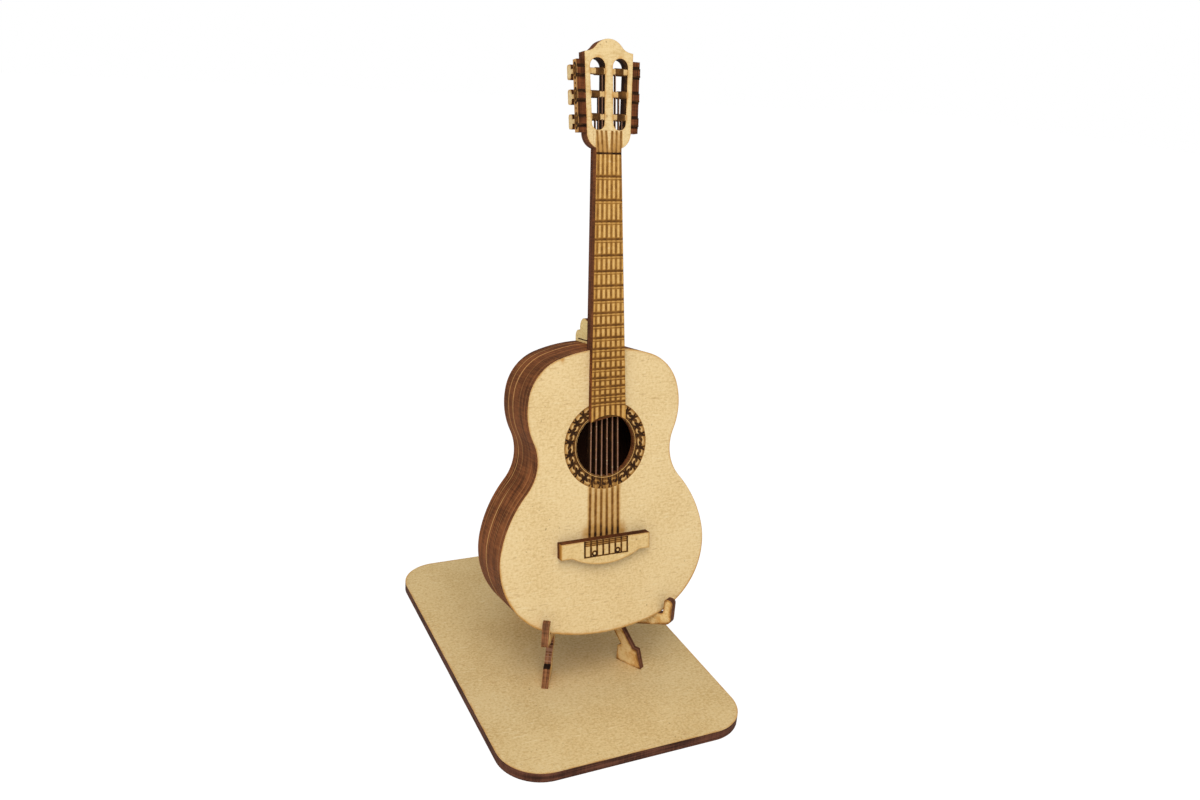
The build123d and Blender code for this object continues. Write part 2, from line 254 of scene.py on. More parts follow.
def scorched(look, face, local, marked, halo, stain):
    """Face browned beside its cuts, unevenly: by the mark "halo" on marked pieces, otherwise by how much of the sheet
    inside is closed off by a cut edge nearby. Stain adds clouds of burn."""
    if marked:
        near_cut = look.attribute("halo")
    else:
        inside = look.node("ShaderNodeAmbientOcclusion", {"Distance": 1.6 * mm}, inside=True, only_local=True,
                           samples=6)
        closed = look.math("SUBTRACT", 1.0, inside.outputs["AO"])
        near_cut = look.span(closed, 0.06, 0.55)
    uneven = look.span(look.noise(local, 160, 3), 0.3, 0.7, 0.45, 1.25)
    scorch = look.math("MULTIPLY", look.math("MULTIPLY", near_cut, uneven), 0.75 + halo)
    if stain:
        cloud = look.noise(look.place(local, shift=(0.11, 0.0, 0.04)), 170, 4, 0.65)
        scorch = look.math("ADD", scorch, look.span(cloud, 0.41, 0.62, 0.0, stain))
    face = look.mix(look.span(scorch, 0.05, 0.9, 0.0, 0.9), face, scorch_gold)
    face = look.mix(look.span(scorch, 0.55, 1.3, 0.0, 0.8), face, scorch_brown)
    if not marked:
        face = look.mix(look.span(closed, 0.7, 0.85, 0.0, 0.9), face, scorch_black)
    return face


def edge_colour(look, local, burnt):
    """Colour of a cut edge, and its streaks: streaks along the cut, patches and fine cross lines add up to a shade
    from dark to warm."""
    streak = look.noise(look.place(local, scale=(40, 2300, 40)), 1.0, 4, 0.65)
    cross = look.noise(look.place(local, scale=(1500, 120, 1500)), 1.0, 2)
    patch = look.noise(local, 90, 3)
    char = look.math("ADD", look.span(streak, 0.25, 0.75, -0.75, 0.75), look.span(patch, 0.25, 0.75, -0.3, 0.3))
    char = look.math("ADD", char, look.span(cross, 0.25, 0.75, -0.22, 0.22))
    dark, warm = scaled(burnt, dark_streak), scaled(burnt, warm_streak)
    return look.ramp(look.span(char, -0.75, 0.8), (0.0, dark), (0.5, burnt), (1.0, warm)), streak


def with_seams(look, edge, local, seams):
    """Cut edge with pale broken lines where layers meet; each seam is (depth, half width, strength)."""
    depth = look.parts(local)[1]
    for place, half, strength in seams:
        line = look.span(look.off(depth, place * mm), half * 0.4 * mm, half * mm, strength, 0.0)
        broken = look.span(look.noise(look.place(local, shift=(place, 0, 0)), 22, 2), 0.36, 0.54)
        edge = look.mix(look.math("MULTIPLY", line, broken), edge, seam_gold)
    return edge


def with_soot(look, edge, local, half, start, end):
    """Cut edge blackened in a band of that half width up the middle of the head, between two places up the neck."""
    across_head, _, up_head = look.parts(local)
    band = look.span(look.math("ABSOLUTE", across_head), (half - 0.2) * mm, half * mm, 0.92, 0.0)
    band = look.math("MULTIPLY", band, look.span(up_head, (start - 1) * mm, start * mm))
    band = look.math("MULTIPLY", band, look.span(up_head, end * mm, (end + 0.3) * mm, 1.0, 0.0))
    return look.mix(band, edge, soot_black)


def with_ledge(look, edge, position, ledge):
    """Cut edge with a black line at a ledge's height, and pale and dark ripples in the hollow above it."""
    height = look.parts(position)[2]
    ripple = look.noise(look.place(position, scale=(60, 60, 1700)), 1.0, 1, 0.4)
    hollow = look.span(look.off(height, (ledge + 5.5) * mm), 4 * mm, 5.5 * mm, 0.9, 0.0)
    edge = look.mix(look.math("MULTIPLY", hollow, look.span(ripple, 0.52, 0.66)), edge, ripple_pale)
    edge = look.mix(look.math("MULTIPLY", hollow, look.span(ripple, 0.36, 0.48, 1.0, 0.0)), edge, ripple_dark)
    return look.mix(look.span(look.off(height, ledge * mm), 0.3 * mm, 0.5 * mm, 0.95, 0.0), edge, ledge_black)


def engraved(look, colour, local):
    """Colour burnt by the mark "burn", from gold through brown to black, a little unevenly."""
    smoke = look.span(look.noise(local, 520, 3), 0.3, 0.7, -0.12, 0.12)
    burn = look.math("MULTIPLY", look.attribute("burn"), look.math("ADD", smoke, 1.0))
    colour = look.mix(look.span(burn, 0.0, 0.35, 0.0, 0.85), colour, burn_gold)
    colour = look.mix(look.span(burn, 0.25, 0.7, 0.0, 0.9), colour, burn_brown)
    return look.mix(look.span(burn, 0.6, 1.0, 0.0, 0.95), colour, burn_black)


def fibreboard(name, turn, shift, pale, burnt, marked=False, grain=1.0, halo=0.0, stain=0.0, toast=0.0, inner=0.0,
               seams=(), soot=(), ledge=0.0):
    """Laser-cut fibreboard, pale on its faces and burnt on its cut edges. Turn and shift bring the sheet's normal to
    the pattern's Y axis, with Y as depth from the face; the normal's part along Y tells a face from an edge. Marked
    pieces carry the marks "burn" and "halo". Grain is the contrast of the face's grain, and halo and stain add scorch
    to the face. Toast browns it down to that depth behind the guitar's face. Faces nearer than the inner depth, inside
    the hollow body, get painted shade in dark brown. Seams, soot and ledge mark the cut edges."""
    look = Look(bpy.data.materials.new(name))
    coords = look.node("ShaderNodeTexCoord").outputs
    local = look.place(coords["Object"], turn, shift)
    facing = look.parts(look.place(coords["Normal"], turn, kind="VECTOR"))[1]
    flat = look.span(look.math("ABSOLUTE", facing), 0.45, 0.8)

    face, speckle = face_colour(look, local, pale, grain)
    if toast:
        behind = look.parts(look.place(coords["Object"], guitar_turn, guitar_shift))[1]
        face = look.mix(look.span(behind, (toast - depth_blend) * mm, toast * mm, 0.75, 0.0), face, toast_brown)
    face = scorched(look, face, local, marked, halo, stain)
    # Painted shade on the faces inside the hollow body, nearer than the inner depth
    if inner:
        depth = look.parts(local)[1]
        face = look.mix(look.span(depth, (inner - depth_blend) * mm, inner * mm, 1.0, 0.0), face, hollow_shade_brown)

    edge, streak = edge_colour(look, local, burnt)
    if seams:
        edge = with_seams(look, edge, local, seams)
    if soot:
        edge = with_soot(look, edge, local, *soot)
    if ledge:
        edge = with_ledge(look, edge, coords["Object"], ledge)

    colour = look.mix(flat, edge, face)
    if marked:
        colour = engraved(look, colour, local)
    relief = look.math("ADD", look.math("MULTIPLY", speckle, 0.5), look.math("MULTIPLY", streak, 0.5))
    bump = look.node("ShaderNodeBump", {"Strength": 0.07, "Distance": 0.08 * mm, "Height": relief}).outputs[0]
    shader = look.node("ShaderNodeBsdfPrincipled", {"Base Color": colour, "Roughness": 0.78, "Normal": bump,
                                                    "Specular IOR Level": 0.1})
    look.node("ShaderNodeOutputMaterial", {"Surface": shader.outputs[0]})
    return look.owner


def sheet_shift(turn, origin):
    """Shift that brings an origin in millimetres to zero after a turn about X or Z: minus the turned origin."""
    axis = int(np.argmax(np.abs(turn)))
    angle = turn[axis]
    i, j = {0: (1, 2), 2: (0, 1)}[axis]
    spot = np.array(origin, float) * mm
    turned = spot.copy()
    turned[i] = spot[i] * np.cos(angle) - spot[j] * np.sin(angle)
    turned[j] = spot[i] * np.sin(angle) + spot[j] * np.cos(angle)
    return tuple(float(x) for x in -turned)


# How each sheet lies: the turn that brings its normal to Y, and the shift that starts Y at its face
guitar_turn = (float(lean), 0.0, 0.0)
side_turn = (0.0, 0.0, float(np.pi / 2))
base_turn = (float(np.pi / 2), 0.0, 0.0)
right_turn = (0.0, 0.0, float(np.radians(60)))
left_turn = (0.0, 0.0, float(np.radians(120)))
guitar_shift = sheet_shift(guitar_turn, hole_centre)
head_shift = tuple(np.add(guitar_shift, (0.043, 0.0, 0.031)).tolist())
side_shift = sheet_shift(side_turn, hole_centre)
base_shift = sheet_shift(base_turn, (0, 0, base_sheet))
right_shift = sheet_shift(right_turn, stand_crossing)
left_shift = sheet_shift(left_turn, stand_crossing)

# Looks of the sheets: pale colour of the face and burnt colour of the cut edge, then what marks them
pale_guitar, pale_stand = tone(231, 202, 148), tone(232, 199, 138)
burnt_edge, smoked_edge = tone(114, 66, 35), tone(92, 53, 33)
body_seams = ((2.5, 0.28, 0.6), (5.8, 0.2, 0.4), (8.7, 0.26, 0.4), (15.2, 0.42, 1.0), (19.9, 0.34, 0.85),
              (21.8, 0.2, 0.35))
guitar_board = fibreboard("guitar_board", guitar_turn, guitar_shift, pale_guitar, smoked_edge)
# The body's inside faces, seen through the sound hole, get painted shade down to 23 mm deep
body_board = fibreboard("body_board", guitar_turn, guitar_shift, pale_guitar, burnt_edge, seams=body_seams, inner=23.0)
engraved_board = fibreboard("engraved_board", guitar_turn, guitar_shift, pale_guitar, burnt_edge, marked=True)
bridge_board = fibreboard("bridge_board", guitar_turn, guitar_shift, tone(225, 192, 132), tone(84, 46, 22), marked=True)
string_board = fibreboard("string_board", guitar_turn, guitar_shift, tone(140, 102, 84), tone(60, 30, 16), marked=True)
finger_board = fibreboard("finger_board", guitar_turn, guitar_shift, tone(225, 183, 113), smoked_edge, marked=True)
head_board = fibreboard("head_board", guitar_turn, head_shift, tone(228, 199, 144), burnt_edge, marked=True)
core_board = fibreboard("core_board", guitar_turn, guitar_shift, pale_guitar, smoked_edge, soot=(8.0, 114.0, 140.6))
# The heel's pale is raised almost to full brightness: painted light on a face that sits in shade
heel_board_painted_light = fibreboard("heel_board_painted_light", side_turn, side_shift, tone(252, 224, 156), tone(100, 60, 38))
tuner_board = fibreboard("tuner_board", side_turn, side_shift, pale_guitar, tone(97, 53, 27), toast=1.6)
base_board = fibreboard("base_board", base_turn, base_shift, tone(221, 192, 137), tone(86, 52, 38), grain=1.35)
right_board = fibreboard("right_board", right_turn, right_shift, pale_stand, tone(104, 66, 46), halo=0.55, stain=0.66)
left_board = fibreboard("left_board", left_turn, left_shift, pale_stand, tone(128, 84, 54), halo=0.45, stain=0.7,
                        ledge=11.75)

node_looks = {
    "base_plate": base_board,
    "stand_board_left": left_board,
    "stand_board_right": right_board,
    "back_plate": body_board,
    "body_frame_1": body_board,
    "body_frame_2": body_board,
    "body_frame_3": body_board,
    "soundboard": guitar_board,
    "neck_core": core_board,
    "fretboard": guitar_board,
    "bridge": guitar_board,
    "heel": heel_board_painted_light,
    "tuner_plate_left": tuner_board,
    "tuner_plate_right": tuner_board,
}
for node, look in node_looks.items():
    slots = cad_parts[node].data.materials
    slots.clear()
    slots.append(look)

# Strings: their half spread and their drift across, at the nut and how much these change down to the bridge
string_shares = np.linspace(-1, 1, 6)
nut_spread, more_spread = 4.35, 1.7
nut_drift, more_drift = 0.2, 0.95


def string_place(share, v):
    """Place across of a string at a place up the neck. Share runs from -1 to 1 over the strings. From nut to bridge
    the strings spread and drift a little to the left, both evenly."""
    down = (nut_place - v) / (nut_place - bridge_top)
    return share * (nut_spread + more_spread * down) + nut_drift - more_drift * down


def string_lines(u, v, half, soft):
    """Mark of all the strings: the largest of their line marks."""
    return np.max([near(u, string_place(share, v), half, soft) for share in string_shares], 0)


# Outline of the body: (radius, turn in degrees) of each arc of its right half, from the top middle down
body_arcs = ((59.5, -18.5), (18.1, -56.4), (27.1, -38.7), (18.2, 64.5), (47.4, -27.7), (30.65, -86.8),
             (75.5667, -16.4))
outline_spacing = 0.05


def body_outline():
    """Body outline, clockwise from the top middle: tangent arcs, each centre + radius (sin h, -cos h) over its
    headings h, then the mirror image."""
    x, y, heading, points = 0.0, body_top, 0.0, []
    for radius, turn in body_arcs:
        side, first, last = np.sign(turn), np.radians(heading), np.radians(heading + turn)
        steps = int(np.ceil(radius * abs(last - first) / outline_spacing))
        h = np.linspace(first, last, steps, endpoint=False)
        cx, cy = x - side * radius * np.sin(first), y + side * radius * np.cos(first)
        points.append(np.stack([cx + side * radius * np.sin(h), cy - side * radius * np.cos(h)], 1))
        x, y = cx + side * radius * np.sin(last), cy - side * radius * np.cos(last)
        heading += turn
    half = np.concatenate(points + [[(0.0, y)]])
    half[0, 0] = half[-1, 0] = 0.0
    return np.concatenate([half, half[-2:0:-1] * (-1, 1)])


outline = body_outline()
outline_angle = np.arctan2(outline[:, 0], -outline[:, 1])
outline_order = np.argsort(outline_angle)


def outline_radius(angle):
    """Distance from the hole's centre to the body outline at an angle from straight down."""
    distance = np.hypot(outline[:, 0], outline[:, 1])
    return np.interp(angle, outline_angle[outline_order], distance[outline_order], period=2 * np.pi)


# Soundboard: a closed ring of rows from the sound hole to the outline, with the rosette, the string lines and the
# scorched rim burnt into it, and six string strips across the hole.
# Radii of the rosette's band, rims and lines; widths of its cells, and half a side cell in degrees
rosette_middle, rosette_half = 14.92, 1.98
rosette_start, rosette_end = 12.26, 17.35
outer_rim, inner_rim, gold_line, hole_line_end = 16.95, 13.0, 12.58, 12.95
cell_width, side_cell_width, side_cell_half = 3.8, 5.05, 9.7
# Angles where the rays stop following the strings and where they are radial; places of the string lines' two ends,
# of the dense rows along the edge and of one scorched spot; and how deep a full burn sinks
follow_end, radial_start = np.radians(33), np.radians(80)
strings_start, strings_end = -9.0, -38.0
edge_band = 5.25
spot_u, spot_v = -17.5, 34.8
engraving_depth = 0.14


def ray_angle(start, radius):
    """Angle from straight down of each ray at a radius. Rays under the hole follow the strings; the rest are radial,
    with an eased blend between."""
    clipped = np.clip(start, -radial_start, radial_start)
    u, v = hole_radius * np.sin(clipped), -hole_radius * np.cos(clipped)
    share = (u - string_place(0, v)) / (string_place(1, v) - string_place(0, v))
    for _ in range(6):
        u = string_place(share, -np.sqrt(np.maximum(radius**2 - u**2, 0)))
    follow = np.arcsin(np.clip(u / radius, -1, 1))
    blend = ease(np.abs(start), follow_end, radial_start)
    return follow * (1 - blend) + start * blend


def rosette_burn(radius, angle):
    """Burn of the rosette, in cells round the ring, with b the distance from its middle. A cell spans 14.6 degrees, or
    19.4 at the two sides. Dark hourglass bars, notched at their ends, stand between the cells. Each cell holds an oval
    link: gold crescents beside a dark twisted bar. Thin rims close the band, and a gold line runs round the hole."""
    b = radius - rosette_middle
    turn = np.abs(np.degrees(np.mod(angle + np.pi, 2 * np.pi) - np.pi))
    cell = np.interp(turn, (0, 90 - side_cell_half, 90 + side_cell_half, 180), (0, 5.5, 6.5, 12))
    width = np.where(np.abs(turn - 90) < side_cell_half, side_cell_width, cell_width)
    link = (cell - np.round(cell)) * width
    beside = width / 2 - np.abs(link)
    waist = 0.34 + 0.27 * np.abs(b)
    notch = ease(np.abs(b), 1.1, 1.5) * (1 - ease(beside, 0.1, 0.35))
    bars = (1 - ease(beside, waist, waist + 0.2)) * (0.96 - 0.4 * notch)
    oval = np.hypot(link / (width / 2 - 0.45), b / 1.36)
    twist = near(b, 0.15 * np.sin(3.4 * link), 0.56, 0.26) * (0.9 - 0.26 * near(b, -0.9 * link, 0.06, 0.25))
    ground = np.where(oval < 1.0, 0.2, np.where(b > 0, 0.45, 0.78))
    band = np.maximum(bars, np.maximum(twist, ground)) * near(b, 0, rosette_half, 0.1)
    rims = np.maximum(0.6 * near(radius, outer_rim, 0.08, 0.14), 0.8 * near(radius, inner_rim, 0.14, 0.1))
    hole_line = np.where(radius < hole_line_end, 0.86 - 0.64 * near(radius, gold_line, 0.07, 0.1), 0)
    return np.maximum(np.maximum(band, rims), hole_line)


def soundboard_marks(u, v, radius, angle, reach):
    """Burn and halo of the soundboard's face. The rosette and the string lines under it lie on a tint; the lines darken
    towards the bridge, and a painted shadow darkens the face just above the bridge. They are joined by the scorch that
    fades inward from the outline and by one scorched spot."""
    past_rosette = ease(radius, 16.9, 17.4)
    below = (v < 0) * past_rosette
    above_end = v > strings_end
    middle = string_place(0, v)
    strings = string_lines(u, v, 0.2, 0.6) * (v < strings_start) * above_end
    crossing = string_lines(u, v, 0.12, 0.16) * (v < strings_start)
    tint = 0.22 * near(u, middle, 6.4, 1.4) * above_end * below
    tint += 0.52 * near(u, middle, 5.0, 3.0) * near(radius, 14.9, 1.95, 0.1) * (v < 0)
    # Painted shadow on the face just above the bridge, across the middle of the strings
    bridge_shadow = 0.38 * ease(-v, 32.2, 35.2) * near(u, -0.8, 8.0, 3.5) * above_end
    strength = 0.44 + 0.16 * ease(-v, 32.5, 35)
    burn = np.maximum(rosette_burn(radius, angle), np.maximum(tint, bridge_shadow) + strength * strings * below)
    burn = burn * (1 - 0.3 * crossing * (1 - past_rosette))
    gap = np.maximum(reach - radius, 0)
    low_edge = 0.35 + 0.65 * ease(-v, 20, 60)
    spot = np.exp(-((u - spot_u) / 0.9) ** 2 - ((v - spot_v) / 2.2) ** 2)
    burn = np.maximum(burn, (0.22 + 0.28 * low_edge) * fade(gap, 0.45))
    burn = np.maximum(burn, 0.34 * spot)
    halo = 0.75 * fade(gap, 0.4) + 0.6 * fade(gap, 1.3) * low_edge
    return burn, np.clip(halo + 1.1 * spot, 0, 1)


# Rays from the rim of the hole: dense below, where the string lines run, and even round the rest. How far each one
# reaches to the outline is found by steps that close in on it.
dense_left, dense_right = -7.6, 6.1
under = np.arcsin(np.linspace(dense_left, dense_right, 124) / hole_radius)
around = np.linspace(under[-1], 2 * np.pi + under[0], 702)[1:-1]
rays = np.concatenate([under, np.where(around > np.pi, around - 2 * np.pi, around)])
reach = outline_radius(rays)
for _ in range(30):
    reach = outline_radius(ray_angle(rays, reach))

# Rows as (radius, height): up the wall of the hole, over the face, down the outer edge and back underneath
hole_wall = ((0, -sheet), (0, -1.3), (0, -0.12), (0.03, -0.04), (0.1, 0.0))
face_shares = (0.05, 0.13, 0.23, 0.34, 0.46, 0.58, 0.7, 0.82, 0.92, 1.0)
outer_wall = ((4.2, 0), (3.4, 0), (2.6, 0), (1.9, 0), (1.3, 0), (0.8, 0), (0.45, 0), (0.2, 0), (0.1, -0.015),
              (0.03, -0.05), (0, -0.13), (0, -1.2), (0, -sheet + 0.03), (0.03, -sheet))
rows = [(hole_radius + out, n) for out, n in hole_wall]
rows += [(r, 0.0) for r in np.arange(rosette_start, rosette_end, 0.1)]
rows += [(rosette_end + share * (reach - rosette_end - edge_band), 0.0) for share in face_shares]
rows += [(reach - inward, n) for inward, n in outer_wall]
rows += [(hole_radius + share * (reach - hole_radius), -sheet) for share in (0.8, 0.4)]
radius, height = (np.stack([np.broadcast_to(row[part], rays.shape) for row in rows]) for part in (0, 1))
angle = ray_angle(rays, radius)
u, v = radius * np.sin(angle), -radius * np.cos(angle)
burn, halo = soundboard_marks(u, v, radius, angle, reach)
top = height > -0.02
soundboard = Piece()
soundboard.add(engraved_board, on_guitar(u, v, height - engraving_depth * np.clip(burn - 0.2, 0, 1) * top),
               burn * top, halo * top, join_rows=True)

# Profile of a string strip: places across and heights round it, and how burnt it is; only its front is pale
strip_u = np.array((-0.33, -0.33, -0.24, -0.19, 0.0, 0.19, 0.24, 0.33, 0.33, 0.33, 0.0, -0.33))
strip_n = np.array((-1.2, -0.14, -0.08, -0.07, -0.07, -0.07, -0.08, -0.14, -1.2, -2.47, -2.47, -2.47))
strip_burn = np.array((1, 0.95, 0.9, 0, 0, 0, 0.9, 0.95, 1, 1, 1, 1))
strip_bite = 0.25
for share in string_shares:
    end = np.sqrt(hole_radius**2 - string_place(share, 0.0) ** 2) + strip_bite
    run = np.linspace(-end, end, 40)
    points = on_guitar(string_place(share, run)[:, None] + strip_u, run[:, None], strip_n)
    soundboard.add(string_board, points, strip_burn)
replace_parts(soundboard.make("soundboard_engraved"), "soundboard")


# Fingerboard: a thin engraved face on the neck, with string lines along it and a groove at every fret, and a second
# such face on the foot of the head.
# Half-widths of the neck; where the hollow of the hole's rim and the head's lines end, and how far up these fan
# out; the outer strings' share of the half-width; and how far a face stands out of the sheet, reaches into it and
# sinks with a full burn
neck_half_start, neck_half_nut = 7.15, 4.95
rim_end = 17.0
nut_half = 0.45
lines_top, fan_height = 115.4, 8.1
string_reach = 0.832
face_rise, face_sink, face_groove = 0.14, 0.06, 0.1
fret_steps = (8.05, 8.4, 7.5, 6.4, 5.8, 5.7, 5.3, 5.2, 4.7, 4.6, 4.6, 4.0, 3.6, 3.9, 3.4, 3.4, 3.3, 2.7)
fret_places = nut_place - np.cumsum(fret_steps)
fret_offsets = (-1.45, -1.25, -1.1, -0.95, -0.82, -0.75, -0.62, -0.55, -0.4, -0.25, 0, 0.2, 0.45, 0.7, 0.95, 1.2)
nut_offsets = np.array((-nut_half, -0.3, 0, 0.3, nut_half))


def neck_half(v):
    """Half-width of the neck, tapering evenly from the sound hole to the nut."""
    return neck_half_start - (neck_half_start - neck_half_nut) * (v - hole_radius) / (nut_place - hole_radius)


def lines_half(v):
    """Half-width of the face on the head's foot, which widens with the head."""
    return np.interp(v, (nut_place, 109.3, 111.0, lines_top), (neck_half_nut, neck_half_nut, 6.0, 6.3))


def hole_rim(u):
    """Height of the sound hole's upper rim at a place across, from its top: on its circle, so zero or less."""
    return np.sqrt(hole_radius**2 - u**2) - hole_radius


def neck_burn(u, v):
    """Burn of the fingerboard: soft string lines, darker margins and the nut. Each fret is a dark line that fades
    upward, over a thin light ridge and a faint second line."""
    low = 1 - ease(v, 20, 65)
    burn = 0.1 + 0.1 * low + 0.2 * ease(np.abs(u) - neck_half(v), -0.8, 0)
    burn = np.maximum(burn, (0.57 + 0.13 * low) * string_lines(u, v, 0.3, 0.45))
    for fret in fret_places:
        d = v - fret
        groove = np.where(d > 0, 1 - ease(d, 0.1, 1.15), 1 - ease(-d, 0.3, 0.55))
        burn = np.maximum(burn, np.maximum(0.72 * groove, (0.5 + 0.12 * low) * near(d, -1.1, 0.14, 0.25)))
        ridge = near(d, -0.68, 0.07, 0.08)
        burn = burn * (1 - ridge) + (0.24 + 0.1 * low) * ridge
    return np.maximum(burn, 0.92 * near(v, nut_place, 0.28, 0.16))


def lines_burn(u, v):
    """Burn on the head's foot: string lines that fan out evenly from the nut to the feet of the head's slots, on a
    tint that fades upward."""
    climb = np.clip((v - nut_place) / fan_height, 0, 1)
    group = near(np.abs(u), 2.6 + 0.6 * climb, 2.4 - 0.6 * climb, 0.8)
    burn = (0.16 + 0.24 * (1 - climb)) * group * (1 - ease(climb, 0.88, 1))
    for share in string_shares:
        foot = np.sign(share) * np.interp(abs(share), (0.2, 0.6, 1.0), (1.25, 3.0, 4.75))
        line = string_place(share, nut_place) * (1 - climb) + foot * climb
        burn = np.maximum(burn, 0.6 * near(u, line, 0.22, 0.5))
    return burn


def face_strip(name, look, places, half, burn_of, hollow_start):
    """Thin engraved face on the neck: rows at the given places, columns dense beside each string, a front that sinks
    with its burn and a flat back. A hollow start follows the rim of the sound hole."""
    columns = [string_reach * share + np.linspace(-0.17, 0.17, 9) for share in string_shares]
    columns = np.concatenate([np.linspace(-1, 1, 15)] + columns)
    columns = np.unique(np.round(columns[np.abs(columns) <= 1], 3))
    share, v = np.meshgrid(columns, places)
    u = share * half(v)
    burn = burn_of(u, v)
    if hollow_start:
        v = v + hole_rim(u) * (1 - ease(v, neck_start, rim_end))
    front = sheet + face_rise - face_groove * burn
    points = on_guitar(np.concatenate([u, u[:, ::-1]], 1), np.concatenate([v, v[:, ::-1]], 1),
                       np.concatenate([front, np.full_like(front, sheet - face_sink)], 1))
    strip = Piece()
    strip.add(look, points, np.concatenate([burn, np.full_like(burn, 0.4)], 1))
    strip.make(name)


nut_end = nut_place + nut_half
places = np.concatenate([np.add.outer(fret_places, fret_offsets).ravel(), nut_place + nut_offsets,
                         np.linspace(neck_start, nut_end, 70)])
places = np.unique(np.round(places, 3))
places = places[(places >= neck_start) & (places <= nut_end)]
face_strip("fingerboard_engraved", finger_board, places, neck_half, neck_burn, True)
face_strip("head_string_lines", engraved_board, np.linspace(nut_end, lines_top, 24), lines_half, lines_burn, False)


# Bridge: a plate with straight wings and a round lobe below, its tie block engraved in the middle and its front edges
# slightly rounded off
bridge_middle, bridge_half, bridge_wing, bridge_sheet = -1.5, 18.7, 6.2, 3.8
lobe_half, lobe_drop = 14.2, 3.8
block_lines = np.linspace(-9.0, 9.0, 8)
saddle_lines = (-36.1, -36.9, -37.7)
eye_u, eye_v, eye_radius = 4.9, -40.9, 1.5
round_off, half_round, edge_step = 0.12, 0.04, 0.03


def bridge_low(x):
    """Lower edge of the bridge: straight wings, and between them an arc through the lobe's width and drop."""
    lobe = (lobe_half**2 + lobe_drop**2) / (2 * lobe_drop)
    drop = np.sqrt(lobe**2 - np.minimum(np.abs(x), lobe_half) ** 2) - (lobe - lobe_drop)
    return bridge_top - bridge_wing - drop


def bridge_burn(x, y):
    """Burn of the tie block: upright lines, a dark saddle with three lines across, a line at the foot, and two eyes,
    dark rings with a pale middle."""
    burn = np.maximum(0.1, 0.9 * near(y, -42.15, 0.2, 0.16))
    for place in block_lines:
        burn = np.maximum(burn, 0.86 * near(x, place, 0.28, 0.26))
    burn = np.maximum(burn, 0.46 * (1 - ease(-y, 37.7, 38.0)))
    for line in saddle_lines:
        burn = np.maximum(burn, 0.8 * near(y, line, 0.14, 0.14))
    burn = burn * near(x, 0, 9.3, 0.1) * near(y, -39.0, 3.35, 0.1)
    for side in (-1, 1):
        far = np.hypot(x - side * eye_u, y - eye_v)
        eye = np.maximum(burn, 0.95 * (1 - ease(far, 1.05, 1.3))) * ease(far, 0.4, 0.6)
        burn = np.where(far < eye_radius, eye, burn)
    return burn


# Rows along the bridge; columns up its upper side, down over its face and on to the foot of its lower side
last_row = bridge_half - round_off
along = np.concatenate([np.linspace(-last_row, last_row, 210)] + [x + np.linspace(-0.5, 0.5, 9) for x in block_lines])
along = np.concatenate([[-bridge_half, edge_step - bridge_half], np.unique(np.round(along, 3)),
                        [bridge_half - edge_step, bridge_half]])
x, down = np.meshgrid(along, np.linspace(0, 1, 64), indexing="ij")
low = bridge_low(x)
y = bridge_top - round_off + down * (low - bridge_top + 2 * round_off)
gap = np.maximum(np.minimum(np.minimum(bridge_top - y, y - low), bridge_half - np.abs(x)), 0)
burn = np.maximum(bridge_burn(x, y), (0.45 + 0.3 * ease(x, 17, 18.2)) * fade(gap, 0.25))
corner = np.concatenate([[round_off, half_round], np.zeros(len(along) - 4), [half_round, round_off]])[:, None]
side_v = np.array((0.0, 0.0, 0.0, -edge_step))
side_n = np.array((0.0, 1.3, bridge_sheet - round_off, bridge_sheet - half_round))
upper_n, lower_n = (np.minimum(side, bridge_sheet - corner) for side in (side_n, side_n[::-1]))
upper_v = np.broadcast_to(bridge_top + side_v, upper_n.shape)
face_n = bridge_sheet - 0.12 * np.clip(burn - 0.15, 0, 1) - corner
blank = np.zeros_like(upper_n)
bridge = Piece()
bridge.add(bridge_board,
           on_guitar(bridge_middle + along[:, None],
                     np.concatenate([upper_v, y, bridge_low(along)[:, None] - side_v[::-1]], 1),
                     np.concatenate([upper_n, face_n, lower_n], 1)),
           np.concatenate([blank, burn, blank], 1), np.concatenate([blank, fade(gap, 0.5), blank], 1))
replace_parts(bridge.make("bridge_engraved"), "bridge")


# Neck and head plate: one front layer, made of strips that meet round the head's two slots, with the rollers, their
# windings and the string strips in the slots. The crest and the hollow under it end at angles in degrees.
flare_place, head_low = nut_place + 1.8, nut_place + 6.9
shoulder_place, head_top = nut_place + 34.6, nut_place + 39.2
foot_half, shoulder_half = 8.65, 9.5
crest_radius, crest_end = 6.4, 38
hollow_radius, hollow_end = 5.3, 258
roller_places = nut_place + 20.35 + 7.8 * np.arange(-1, 2)
slot_low, slot_high = roller_places[0] - 4.45, roller_places[2] + 4.55
slot_low_radius, slot_high_radius = 2.45, 2.95
left_windings, right_windings = (-4.87, -5.1, -3.5), (4.83, 5.25, 4.2)
winding_half, winding_rise, winding_ripple, winding_turns = 1.6, 0.06, 0.07, 7
roller_half, roller_bite = 1.2, 0.4
slot_strips = (5.2, 4.0, 2.6)


def arc(centre, radius, first, last):
    """Points of a circular arc between two angles in degrees: centre + radius (cos a, sin a)."""
    a = np.radians(np.linspace(first, last, 40))
    return np.stack([centre[0] + radius * np.cos(a), centre[1] + radius * np.sin(a)], 1)


